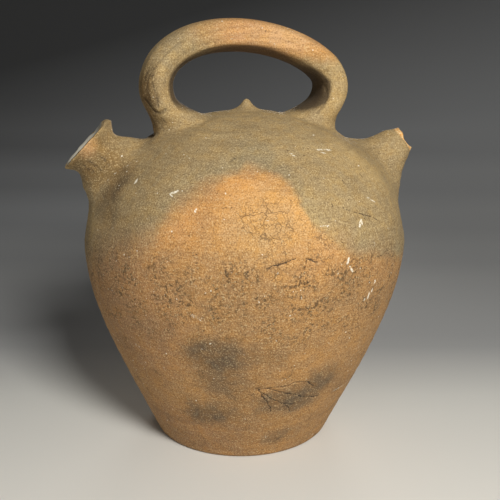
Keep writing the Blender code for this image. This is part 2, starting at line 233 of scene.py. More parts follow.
# Broad unevenness from thumbs and from drying, and legs drawn in a little
dents = [
    ((-60, -98, 150), 30, 0.7), ((45, -104, 120), 34, 0.8), ((-15, -108, 86), 28, 0.6), ((60, -70, 205), 26, 0.6),
    ((-40, 108, 170), 36, 0.9), ((70, 80, 110), 32, 0.8), ((-80, 30, 88), 30, 0.7), ((15, 95, 60), 26, 0.6),
    ((-70, -70, 205), 22, 0.5), ((40, 75, 228), 24, 0.6), ((66, 0, 264), 32, 1.6),
]

# Clay left standing: place and size in millimetres, and the way it stands out
swellings = [
    ((-80, 0, 234), 13, (-2.6, 0, 1.8)), ((-97, 0, 246), 11, (1.6, 0, 0.4)), ((-104, 0, 243), 19, (-3.0, 0, 0.6)),
    ((127, 0, 236), 9, (2.6, 0, 0.5)), ((118, 0, 234), 8, (0, 0, 0.8)), ((141, -2, 219), 11, (1.2, 0, 1.0)),
]

# Chips of the mouth's rim: where round it in degrees, how wide and how deep in millimetres
rimChips = [
    (-4, 4.5, 1.6), (-24, 4.0, 1.3), (-41, 3.2, 0.9), (12, 3.6, 1.0), (-78, 2.4, 0.5), (-128, 2.6, 0.6),
    (64, 3.0, 0.8), (118, 4.0, 1.1), (171, 3.0, 0.7),
]

# Lime caught on the surface, and chalk, which is fainter and more ragged: half width and path in millimetres
limeMarks = [
    (1.0, [(57.3, -105.3, 186.2), (56.5, -106.3, 184.9)]),
    (0.7, [(57.9, -105.5, 184.6), (57.5, -106, 183.6)]), (0.8, [(55.6, -107.5, 183.4), (55, -108.1, 182.3)]),
    (0.8, [(45, -116.6, 163.5), (43.4, -117.5, 159.8)]),
    (0.8, [(45.8, -117, 157.4), (48.5, -115.9, 153.5)]), (0.7, [(70, -103.5, 142.8), (69.4, -103.3, 139.9)]),
    (0.7, [(68.2, -103.3, 136.5), (67.8, -103.6, 134.2)]), (1.0, [(65.3, -104.9, 134), (64.9, -104.6, 129.9)]),
    (0.7, [(62.2, -106.1, 130.5), (61.8, -106.3, 129.3)]), (1.1, [(-86.9, -50.5, 208.2), (-85.4, -50.1, 210)]),
    (0.5, [(-66.4, -81.7, 205.6), (-64.2, -82.6, 206.5)]), (0.4, [(-67.6, -81.4, 205), (-66.2, -83.5, 203.8)]),
    (0.6, [(-53.9, -98.2, 196.2), (-53, -97.6, 197.6)]), (0.7, [(-34.5, -99.1, 207.4), (-34.3, -99.2, 206.8)]),
    (0.6, [(-51.7, -66.6, 226), (-51.4, -66.8, 225.6)]), (0.6, [(-90.4, -33.6, 214), (-90, -33.6, 213.4)]),
    (0.6, [(10.4, -123.1, 141.1), (10.4, -123.1, 140.5)]), (0.6, [(-17.8, -121.5, 139.6), (-17.8, -121.5, 139)]),
    (0.7, [(30, 115, 150), (33, 114, 147)]), (0.6, [(-64, 96, 190), (-67, 93, 188)]),
]
chalkMarks = [
    (1.4, [(66.6, -105, 171.6), (67.3, -105.2, 168.1)]), (1.3, [(35.4, -74.1, 230.1), (47.4, -69, 229.1)]),
    (1.5, [(38.6, -75.5, 228.1), (42, -75, 227)]), (1.5, [(15.3, -81.5, 228.9), (17, -85.2, 225.9)]),
    (1.0, [(63.7, -93.5, 199.7), (74.1, -90.2, 194.5)]), (1.0, [(21.6, -116.9, 187), (29.4, -115.8, 185.4)]),
    (0.7, [(43.8, -116.4, 142.3), (45, -116.4, 146.3)]), (1.2, [(-68.4, -80.9, 204.7), (-61.6, -83.7, 207.5)]),
    (1.1, [(-53.9, -98.2, 196.2), (-51.7, -96.9, 199.7)]), (1.0, [(-76, -73.8, 204.7), (-72.8, -76.4, 205.2)]),
    (1.6, [(-59.1, -105.4, 128.6), (-54.8, -107.2, 127.5)]),
    (1.7, [(-53.5, -107.1, 124.6), (-49.3, -108.7, 122.7)]),
    (1.0, [(-42.6, -111.9, 123.2), (-43, -110.5, 117.9)]), (1.4, [(-19.3, -119.8, 129), (-18.6, -119.8, 128.2)]),
    (1.1, [(1.6, -123.4, 139.8), (2.4, -123.4, 139.4)]), (0.8, [(-98.2, -66.4, 123), (-83.2, -82, 112)]),
    (0.7, [(-104, -58, 130), (-100, -66, 119)]), (1.0, [(68.7, -63.8, 50.8), (57, -74, 51.2), (48.8, -80.3, 51.6)]),
    (0.7, [(-75.2, -75.6, 83), (-68.3, -74.1, 68.8)]),
    (0.5, [(-115, -17.1, 181.7), (-113.2, -16.7, 188.9), (-108.8, -22.1, 199.1), (-103.7, -24.9, 206.5),
           (-96.6, -27.1, 212.3), (-88.9, -28.9, 217.2), (-82.3, -28.2, 222.6)]),
    (0.8, [(66.9, -85.7, 90.2), (53.4, -87.5, 73.5), (40, -88.5, 58)]), (0.7, [(71.5, -87, 99), (60, -90, 83)]),
    (0.7, [(-5, 118, 110), (-2, 120, 118)]), (0.8, [(92, 70, 170), (90, 74, 160)]),
]

surface = {
    "halves": ("jug_lower", "jug_upper"),
    "mergeBelow": 0.00001,
    "quadAngle": 60,            # degrees, how bent a pair of triangles may be and still be joined
    "sharpAbove": 38,           # degrees, edges of the foot and of the break stay crisp
    "sharpness": 0.7,
    "fineness": 2,
    "lineStep": 5 * mm,         # paths are laid on the skin at points this far apart
    # How far from each kind of line the skin is cut finer, and in how many rounds
    "finer": {"rim": (4 * mm, 1), "cracks": (1.7 * mm, 3), "lime": (1.7 * mm, 2), "chalk": (1.9 * mm, 1),
              "grooves": (2.6 * mm, 1)},
    "widerEachRound": 1.2,      # the earlier rounds reach further, because the skin's edges are long then
    "setBack": 0.45 * mm,       # the skin is set in by this, so that no lump rises past the solid
    "lumps": [(55 * mm, 0.40 * mm), (22 * mm, 0.26 * mm), (9 * mm, 0.14 * mm)],      # size and depth
    "turningPitch": 7 * mm, "turningDepth": 0.13 * mm, "turningWave": 70 * mm, "turningWander": 2.5,
    "footLine": 29.6 * mm, "footLineWidth": 2.2 * mm, "footLineDepth": 0.5 * mm, "footLineTilt": 0.03,
    "footLineWave": 30 * mm,
    "strapReach": 18 * mm, "strapFade": 10 * mm,        # from the strap's middle line
    "strapStreaks": [(3.0, 60 * mm, 0.55 * mm), (8.0, 35 * mm, 0.22 * mm)],          # number, length and depth
    "strapUndersideShade": (3.5, 1.7),    # painted shade: how steeply the strap darkens on its underside and inner faces, and where it starts
    "paintedLegShade": ((54, -4, 268), 24 * mm, 2.6),          # painted shade, darkest inside the leg on the spout's side
    "raggedSize": 4 * mm, "lineWobble": 0.7,            # the wobble of thin lines is in millimetres
    "raggedChip": 0.35, "raggedCut": 0.3,               # how far the edges of chips and cuts wander
    "crackDepth": 0.9 * mm,     # for each millimetre of half width
    "chalkFaintness": 0.55,
    "wornTurn": -20, "wornReach": 17 * mm, "rimRoughness": 0.7 * mm, "rimGrit": 3.2 * mm,
    "mouthTurn": 2.2 * mm, "mouthReach": 22 * mm, "mouthWidth": 30 * mm, "lipHeight": 6 * mm,
    "innerReach": 24 * mm,
    "breakSlope": 0.7 * mm, "breakReach": 9 * mm, "breakWidth": 14 * mm,
    "breakRoughness": 0.8 * mm, "breakGrit": 5.5 * mm,
    "brokenRing": (4 * mm, 13.5 * mm),                  # from the spout's axis
    "brokenEdge": (1.5 * mm, 2 * mm), "freshEdge": (1.2 * mm, 1.8 * mm),     # below the break, and how soft
    "flatFoot": 3.5 * mm, "footEdge": 0.4 * mm,
    # How dark each kind of mark is made, from 0 to 1: most hold dirt, and the lip's near side is darkened
    "darkening": {"footLine": 0.35, "streak": 0.4, "streakMost": 0.25, "chip": 0.5, "groove": 0.3, "grooveDepth": 0.35,
             "grooveMost": 0.8, "wornRim": 0.7, "rimChip": 0.3, "lip": 0.9},
    # Which part of the noise each mark takes
    "shifts": {"turning": 21, "footLine": 33, "ragged": (41, 71, 87), "rimGrit": 55, "break": 61},
}
darkening, shifts = surface["darkening"], surface["shifts"]


def coarseCopy():
    # The solid's two halves in one skin again: the level ring between them goes, and their edges are merged
    form = bmesh.new()
    for name in surface["halves"]:
        form.from_mesh(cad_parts[name].data)
    seam = max(vert.co.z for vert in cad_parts[surface["halves"][0]].data.vertices)
    ring = [face for face in form.faces
            if all(abs(vert.co.z - seam) < surface["mergeBelow"] for vert in face.verts)]
    bmesh.ops.delete(form, geom=ring, context="FACES")
    bmesh.ops.remove_doubles(form, verts=form.verts, dist=surface["mergeBelow"])
    bent = radians(surface["quadAngle"])
    bmesh.ops.join_triangles(form, faces=form.faces, angle_face_threshold=bent, angle_shape_threshold=bent)
    crease = form.edges.layers.float.new("crease_edge")
    for edge in form.edges:
        if edge.is_manifold and edge.calc_face_angle() > radians(surface["sharpAbove"]):
            edge[crease] = surface["sharpness"]
    return form


def refineNear(form, zones):
    # Zones are (path, reach, rounds): the skin is cut finer beside each path, all of them at once
    for step in range(max(rounds for path, reach, rounds in zones)):
        points = np.array([vert.co for vert in form.verts])
        near = np.zeros(len(points), bool)
        for path, reach, rounds in zones:
            if step < rounds:
                wider = 1 + surface["widerEachRound"] * (rounds - 1 - step)
                near |= pathDistance(points, path)[0] < reach * wider
        edges = [edge for edge in form.edges if near[edge.verts[0].index] and near[edge.verts[1].index]]
        bmesh.ops.subdivide_edges(form, edges=edges, cuts=1, use_grid_fill=True)
        form.verts.index_update()


def makeJug():
    form = coarseCopy()
    mesh = bpy.data.meshes.new("jugClay")
    form.to_mesh(mesh)
    form.free()
    jug = bpy.data.objects.new("jugClay", mesh)
    bpy.context.scene.collection.objects.link(jug)
    smoothing = jug.modifiers.new("Smoothing", "SUBSURF")
    smoothing.levels = surface["fineness"]
    smoothing.render_levels = surface["fineness"]
    smoothed = bpy.data.meshes.new_from_object(jug.evaluated_get(bpy.context.evaluated_depsgraph_get()))
    jug.modifiers.clear()

    form = bmesh.new()
    form.from_mesh(smoothed)
    skin = BVHTree.FromBMesh(form)
    lines = {"cracks": cracks, "flecks": flecks, "lime": limeMarks, "chalk": chalkMarks,
             "grooves": grooves.values()}
    lines = {kind: layOn(skin, paths) for kind, paths in lines.items()}
    finer = surface["finer"]
    zones = [(np.array([rimPoint(turn) for turn in range(0, 361, 15)]), *finer["rim"])]
    zones += [(line[-1], *finer[kind]) for kind in ("cracks", "lime", "chalk", "grooves") for line in lines[kind]]
    refineNear(form, zones)
    form.to_mesh(mesh)
    form.free()
    print("fine skin:", len(mesh.vertices), "points")
    return jug, mesh, lines


def readSkin(mesh):
    points = np.zeros(len(mesh.vertices) * 3)
    normals = np.zeros(len(mesh.vertices) * 3)
    mesh.vertices.foreach_get("co", points)
    mesh.vertex_normals.foreach_get("vector", normals)
    return points.reshape(-1, 3), normals.reshape(-1, 3)


# The next five functions add to the two lists that they are given: how far each point of the skin is pushed out,
# and how dark it is made, by dirt in its marks and by painted shade under and inside the strap

def turnBody(points, onStrap, push, hollow):
    # Lumps all over, the rings left by the wheel on the body alone, and the line above the foot
    for index, (size, depth) in enumerate(surface["lumps"]):
        push += np.clip(grain(points, size, 3.0 * index + 1), -1, 1) * depth * 0.5
    wander = surface["turningWander"] * grain(points, surface["turningWave"], shifts["turning"])
    turning = np.sin(points[:, 2] / surface["turningPitch"] * 2 * pi + wander)
    push += turning * surface["turningDepth"] * (1 - onStrap)
    fromLine = np.abs(points[:, 2] - surface["footLine"] + surface["footLineTilt"] * points[:, 0])
    uneven = np.clip(grain(points, surface["footLineWave"], shifts["footLine"]), -1, 1)
    footLine = fade(fromLine, surface["footLineWidth"]) * (0.6 + 0.4 * uneven)
    push -= footLine * surface["footLineDepth"]
    hollow += darkening["footLine"] * footLine


def streakStrap(points, normals, along, onStrap, push, hollow):
    # Finger streaks along the strap, and painted shade on its underside and on the inner faces of its legs
    outwards = points - inMetres(places["strapCentre"])
    outwards[:, 1] = 0
    inPlane = np.linalg.norm(outwards, axis=1)
    oval = np.stack([outwards[:, 0] / places["strapSpan"], outwards[:, 2] / places["strapRise"]], 1)
    ring = np.linalg.norm(oval, axis=1) / mm
    offset = inPlane * (1 - 1 / np.maximum(ring, 0.2))
    turn = np.arctan2(offset / (places["strapHalfThickness"] * mm), points[:, 1] / (places["strapHalfWidth"] * mm))
    inwards = -np.einsum("ij,ij->i", normals, outwards) / np.maximum(inPlane, mm)
    steepness, start = surface["strapUndersideShade"]
    place, reach, extra = surface["paintedLegShade"]
    paintedLegShade = fade(distanceTo(points, inMetres(place)), reach)
    # Painted shade: the strap darkens where it faces its own middle, and most inside the leg on the spout's side
    hollow += np.clip(steepness * inwards - start + extra * paintedLegShade * (inwards > 0.2), 0, 1.2) * onStrap
    for number, length, depth in surface["strapStreaks"]:
        at = np.stack([np.cos(turn) * number, np.sin(turn) * number, along / length], 1)
        streak = np.array([noise.noise(Vector(point)) for point in at])
        push += streak * depth * onStrap
        hollow += np.clip(-streak * darkening["streak"], 0, darkening["streakMost"]) * onStrap


def knockClay(points, ragged, push, hollow):
    for place, size, depth in dents:
        push -= fade(distanceTo(points, inMetres(place)), size * mm) * depth * mm
    for place, size, depth in chips:
        hit = fade(distanceTo(points, inMetres(place)) * (1 + surface["raggedChip"] * ragged), size * mm)
        push -= hit * depth * mm
        hollow += darkening["chip"] * hit


def scoreLines(points, wobbling, ragged, lines, push, hollow):
    # Says how many half widths away the nearest line of each kind is: the clay's material draws thin lines from it
    split, fleck, chalk = np.full((3, len(points)), farAway)
    for width, path in lines["cracks"]:
        distance = pathDistance(wobbling, path)[0] / (width * mm)
        split = np.minimum(split, distance)
        push -= fade(distance, 2.0) * width * surface["crackDepth"]
    for width, path in lines["flecks"]:
        fleck = np.minimum(fleck, pathDistance(wobbling, path)[0] / (width * mm))
    for kind, faintness in (("lime", 0.0), ("chalk", surface["chalkFaintness"])):
        for width, path in lines[kind]:
            chalk = np.minimum(chalk, pathDistance(wobbling, path)[0] / (width * mm) + faintness)
    for width, depth, path in lines["grooves"]:
        cut = fade(pathDistance(points, path)[0] * (1 + surface["raggedCut"] * ragged), width * mm)
        push -= cut * depth * mm
        hollow += min(darkening["grooveMost"], darkening["groove"] + darkening["grooveDepth"] * depth) * cut
    return split, fleck, chalk


def wearRim(points, ragged, push, hollow):
    # The rim is knocked and rough, most of all at its low front
    rimHit = np.zeros(len(points))
    for rimTurn, size, depth in rimChips:
        hit = fade(distanceTo(points, rimPoint(rimTurn)) * (1 + surface["raggedCut"] * ragged), size * mm)
        push -= hit * depth * mm
        rimHit = np.maximum(rimHit, hit)
    worn = fade(distanceTo(points, rimPoint(surface["wornTurn"])), surface["wornReach"])
    rimGrit = np.clip(-grain(points, surface["rimGrit"], shifts["rimGrit"], 2), 0, 1)
    push -= worn * rimGrit * surface["rimRoughness"]
    hollow += darkening["wornRim"] * worn * rimGrit + darkening["rimChip"] * rimHit


def pressMarks(mesh, lines):
    points, normals = readSkin(mesh)
    push = np.full(len(points), -surface["setBack"])
    hollow = np.zeros(len(points))
    strapDistance, strapAlong = pathDistance(points, strapPath())
    onStrap = fade(strapDistance - surface["strapReach"], surface["strapFade"])
    wobbles = [grain(points, surface["raggedSize"], shift, 2) for shift in shifts["ragged"]]
    ragged = wobbles[0]
    wobbling = points + np.stack(wobbles, 1) * surface["lineWobble"] * mm

    turnBody(points, onStrap, push, hollow)
    streakStrap(points, normals, strapAlong, onStrap, push, hollow)
    knockClay(points, ragged, push, hollow)
    split, fleck, chalk = scoreLines(points, wobbling, ragged, lines, push, hollow)
    wearRim(points, ragged, push, hollow)

    # The spout's broken end, rough and fresh
    height = (points - spoutEnd) @ spoutAxis
    across = distanceTo(points - spoutEnd, height[:, None] * spoutAxis)
    facing = normals @ spoutAxis
    bore, edge = surface["brokenRing"]
    nearEnd = (across < edge) * (across > bore)
    depth, soft = surface["brokenEdge"]
    broken = fade(-height - depth, soft) * nearEnd * np.clip(facing * 2.2, 0, 1)
    depth, soft = surface["freshEdge"]
    fresh = np.maximum(broken, fade(-height - depth, soft) * nearEnd * np.clip(0.6 + facing * 2, 0, 1))
    jagged = np.clip(0.5 + 0.5 * grain(points, surface["breakGrit"], shifts["break"], 3), 0, 1)

    # The foot stays flat where it stands
    push *= 1 - fade(points[:, 2] - surface["footEdge"], surface["flatFoot"])
    moved = points + normals * push[:, None] - spoutAxis * (broken * jagged * surface["breakRoughness"])[:, None]

    # The mouth is turned a little from the camera's side, and the break slopes towards it
    along = (points - mouthEnd) @ mouthAxis
    fromAxis = points - mouthEnd - along[:, None] * mouthAxis
    outFromAxis = np.linalg.norm(fromAxis, axis=1)
    atMouth = fade(np.abs(along), surface["mouthReach"]) * (outFromAxis < surface["mouthWidth"])
    nearSide = np.clip(-points[:, 1] / (places["mouthRadius"] * mm), 0, 1)
    moved += mouthAxis * (atMouth * nearSide * surface["mouthTurn"])[:, None]
    nearBreak = np.clip(0.5 - points[:, 1] / (2 * places["spoutRadius"] * mm), 0, 1)
    atBreak = fade(-height, surface["breakReach"]) * (across < surface["breakWidth"])
    moved -= spoutAxis * (atBreak * nearBreak * surface["breakSlope"])[:, None]

    # The near side of the lip is darkened where it faces up the mouth, and the inside of the mouth has a greyer
    # skin
    lip = np.clip(1.6 * (normals @ mouthAxis) - 0.5, 0, 1) * nearSide * (np.abs(along) < surface["lipHeight"])
    hollow += darkening["lip"] * lip * (outFromAxis < surface["mouthWidth"]) * np.clip(0.8 + 0.6 * ragged, 0, 1)
    inner = fade(np.abs(along), surface["innerReach"]) * (np.einsum("ij,ij->i", normals, fromAxis) < 0)
    inner *= outFromAxis < places["mouthRadius"] * mm

    # Clay left standing pushes the skin its own way, and most where the skin faces that way
    for place, size, way in swellings:
        part = fade(distanceTo(points, inMetres(place)), size * mm)
        part *= np.clip(0.7 * normals @ np.array(way) / np.linalg.norm(way) + 0.6, 0, 1)
        moved += part[:, None] * inMetres(way)

    mesh.vertices.foreach_set("co", moved.ravel())
    for name, values in (("hollow", np.clip(hollow, 0, 1)), ("split", split), ("fleck", fleck), ("chalk", chalk),
                         ("fresh", fresh), ("inner", inner)):
        layer = mesh.attributes.new(name, "FLOAT", "POINT")
        layer.data.foreach_set("value", values)
    mesh.update()
    mesh.shade_smooth()


jug, jugMesh, jugLines = makeJug()
pressMarks(jugMesh, jugLines)
print("marks pressed into the clay")


# Clay: unglazed terracotta, thrown from a gritty paste and fired in an open kiln. It is matt, speckled with grit,
# orange where the flame reached it, olive where the smoke did, and grey-brown where fuel lay against it.

clay = {
    "tones": {
        "olive": "#a08a62", "greyOlive": "#8f8162", "orange": "#c68f53", "brown": "#a98050", "rose": "#9c7350",
        "sand": "#c9ab74", "pale": "#e2cb9c", "smoke": "#534738", "soot": "#402b12", "grit": "#5a4326",
        "umber": "#72592f", "lime": "#f2ead6", "crack": "#2b1e13", "paste": "#d39038", "pink": "#b5805c",
        "peach": "#dfae78", "mouthInside": "#9a9a92",
    },
    # Waves that shift the place a pattern is read at: the size of a wave, and how far it shifts
    "drifting": (24 * mm, 16 * mm), "shivering": (4 * mm, 1.6 * mm), "waveDetail": 3.0,
    "levelStretch": 14.0,       # level streaks are this many times as long as they are high
    # The clay's own noises: size, detail, roughness, and the place that each is read at
    "noises": {
        "drift": (45 * mm, 3.0, 0.5, "still"), "mottle": (9 * mm, 4.0, 0.6, "still"),
        "grit": (0.95 * mm, 1.5, 0.6, "still"), "patches": (13 * mm, 4.0, 0.6, "still"),
        "strewn": (2.2 * mm, 3.0, 0.6, "shivering"), "flecks": (2.6 * mm, 1.0, 0.5, "shivering"),
        "fading": (20 * mm, 2.0, 0.5, "still"), "streaks": (22 * mm, 4.0, 0.6, "level"),
        "tooth": (4 * mm, 3.0, 0.5, "still"),
    },
    # How a noise, a height or a distance becomes a share: from, to, the share at the first and at the second
    "shares": {
        "greyByFlame": (26 * mm, 2 * mm, 0.0, 0.85), "orangeUpwards": (150 * mm, 205 * mm),
        "brownDownwards": (-5 * mm, -60 * mm, 0.0, 0.45), "cloudy": (0.25, 0.70, 1.0, 0.72),
        "paleMottle": (0.36, 0.70, 0.0, 0.42), "smokeDrift": (0.60, 0.36, 0.0, 0.20),
        "bellyFromBelow": (92 * mm, 125 * mm), "bellyFromAbove": (178 * mm, 150 * mm),
        "gathered": (0.38, 0.60), "speckle": (0.51, 0.41, 0.0, 0.9),
        "darkestGrit": (160 * mm, 200 * mm, 0.62, 0.50), "darkGrit": (0.50, 0.30, 0.0),
        "paleGrit": (0.52, 0.72, 0.0, 0.44), "limeFlecks": (0.76, 0.80, 0.0, 0.8),
        "sootFlecks": (0.26, 0.21, 0.0, 0.7), "crazing": (0.52, 0.74, 0.0, 0.85),
        "fineCrazing": (0.54, 0.76, 0.0, 0.60), "streaks": (0.58, 0.38, 0.0, 0.14),
        "fleck": (3.5, 2.3, 0.0, 0.55), "split": (1.1, 0.35, 0.0, 0.85), "chalk": (1.2, 0.6, 0.0, 0.85),
        "freshGrit": (0.35, 0.65), "roughness": (0.3, 0.7, 0.80, 0.92),
        "flameSoftness": (radians(-132), radians(-104), 18 * mm, 6 * mm),     # the flame's edge is softest at left
    },
    # The two nets of crazing: size of a cell, width of a line, and its share
    "crazing": (13 * mm, 0.45 * mm, "crazing"), "fineCrazing": (5 * mm, 0.30 * mm, "fineCrazing"),
    "cellWave": (0.5, 0.8),     # how the lines wander, in sizes of a cell
    "crazedPlace": ((30, -116, 176), (52, 40, 40), 0.5, 0.16),      # where the net shows best
    "crazedInFlame": 0.55, "crazedAnywhere": 0.45,                  # the net is fainter in the olive
    "raggedByGrit": (1.6, -0.8), "lineRaggedness": {"fleck": 5.0, "split": 0.6, "chalk": 1.6},
    "hollowDepth": 0.82, "insideDepth": 0.8,
    "relief": {"grit": 0.22, "tooth": 0.35, "streaks": 0.25, "net": -0.12},         # in millimetres
}

# The flame's edge round the jug: turn in degrees, -90 being the front, and its height in millimetres, which the
# curve holds as a share of its own top
curveTop = 256
flameEdge = [
    (-180, 146), (-164, 149), (-154, 157), (-141, 168), (-133, 180), (-129, 193), (-120, 206), (-114, 213),
    (-110, 218), (-105, 222), (-98, 221), (-93, 217), (-89, 211), (-85, 200), (-83, 192), (-80, 185), (-76, 176),
    (-71, 168), (-62, 162), (-52, 157), (-38, 150), (-10, 150), (15, 154), (50, 166), (80, 186), (105, 190),
    (130, 168), (155, 150), (180, 146),
]

# Where the fire left its colours, with a few patches of painted shade and painted highlight among them, in order:
# colour, centre and half sizes in millimetres, softness and strength
firing = [
    ("orange", (26, -8, 308), (60, 40, 20), 0.35, 0.95), ("orange", (58, -6, 298), (20, 30, 12), 0.4, 0.8),
    # The peach patch along the strap's upper front is partly the clay's tone and partly a painted highlight
    ("pink", (4, -20, 306), (18, 12, 9), 0.6, 0.6), ("peach", (26, -20, 304), (36, 12, 10), 0.7, 0.9),
    # The second sand patch is painted light, lifting a band of shade on the shoulder's right front
    ("sand", (0, -118, 190), (40, 30, 30), 0.7, 0.35), ("sand", (74, -64, 216), (22, 16, 24), 0.8, 0.6),
    ("rose", (-92, -62, 122), (46, 50, 52), 0.5, 0.6), ("rose", (-60, -60, 22), (54, 50, 26), 0.5, 0.5),
    ("rose", (-70, 84, 84), (44, 44, 40), 0.6, 0.6), ("brown", (-16, -121, 150), (52, 30, 18), 0.7, 0.6),
    ("orange", (70, -95, 156), (18, 24, 14), 0.8, 0.25), ("orange", (22, -120, 168), (26, 20, 16), 0.7, 0.5),
    ("smoke", (-43, -103, 97), (21, 20, 14), 0.55, 0.95), ("smoke", (-34, -97, 74), (17, 14, 18), 0.7, 0.6),
    ("smoke", (-44, -80, 45), (21, 16, 11), 0.6, 0.9), ("smoke", (-9, -112, 95), (13, 12, 7), 0.8, 0.35),
    ("smoke", (5, -95, 54), (20, 14, 13), 0.5, 0.75), ("smoke", (22, -92, 57), (18, 14, 13), 0.5, 0.65),
    ("smoke", (36, -95, 69), (15, 14, 12), 0.6, 0.65), ("smoke", (10, -78, 20), (14, 12, 8), 0.6, 0.55),
    ("smoke", (56, 92, 70), (26, 26, 18), 0.6, 0.7), ("smoke", (-28, 116, 128), (20, 20, 26), 0.7, 0.6),
    ("smoke", (104, 28, 88), (16, 20, 14), 0.7, 0.6),
    ("soot", (-101, -36, 201), (9, 12, 9), 0.6, 0.8), ("soot", (-92, -35, 211), (10, 12, 8), 0.6, 0.7),
    ("soot", (-107, -32, 191), (8, 12, 10), 0.7, 0.5), ("soot", (-104, -46, 184), (6, 8, 6), 0.9, 0.4),
    ("soot", (-117, -15, 209), (10, 12, 8), 0.8, 0.6), ("soot", (-75, -12, 268), (5, 12, 13), 0.7, 0.7),
    ("soot", (-71, -14, 258), (8, 12, 8), 0.7, 0.6), ("umber", (-107, -20, 221), (19, 20, 17), 0.5, 0.95),
    # The long dark patch along the strap's left root darkens the crease there
    ("greyOlive", (-50, -20, 296), (22, 14, 10), 0.9, 0.5), ("soot", (-72, 0, 240), (8, 30, 9), 0.7, 0.8),
    # The peach spot on the neck's near side, just below the rim, is a painted highlight, and the soot patch inside
    # the strap's right leg is painted shade
    ("peach", (-114, -24, 229), (6, 8, 7), 0.6, 0.95), ("soot", (54, -6, 268), (6.5, 13, 11), 0.5, 0.9),
    ("umber", (-74, -14, 268), (10, 16, 20), 0.6, 0.75), ("sand", (70, -12, 262), (14, 18, 26), 0.8, 0.45),
]


def spotGroup():
    # A soft-edged patch: full inside an oval, fading out across its edge
    tree = bpy.data.node_groups.new("Spot", "ShaderNodeTree")
    for name, kind in (("Vector", "NodeSocketVector"), ("Centre", "NodeSocketVector"), ("Size", "NodeSocketVector"),
                       ("Edge", "NodeSocketFloat"), ("Strength", "NodeSocketFloat")):
        tree.interface.new_socket(name, in_out="INPUT", socket_type=kind)
    tree.interface.new_socket("Factor", in_out="OUTPUT", socket_type="NodeSocketFloat")
    given = addNode(tree, "NodeGroupInput").node.outputs
    away = addNode(tree, "ShaderNodeVectorMath", {"operation": "SUBTRACT"}, [given["Vector"], given["Centre"]])
    scaled = addNode(tree, "ShaderNodeVectorMath", {"operation": "DIVIDE"}, [away, given["Size"]])
    length = addNode(tree, "ShaderNodeVectorMath", {"operation": "LENGTH"}, [scaled], "Value")
    inner = addNode(tree, "ShaderNodeMath", {"operation": "SUBTRACT"}, [1.0, given["Edge"]])
    outer = addNode(tree, "ShaderNodeMath", {"operation": "ADD"}, [1.0, given["Edge"]])
    soft = addNode(tree, "ShaderNodeMapRange", {"interpolation_type": "SMOOTHSTEP"},
                   {"Value": length, "From Min": inner, "From Max": outer,
                    "To Min": given["Strength"], "To Max": 0.0})
    addNode(tree, "NodeGroupOutput", None, {"Factor": soft})
    return tree


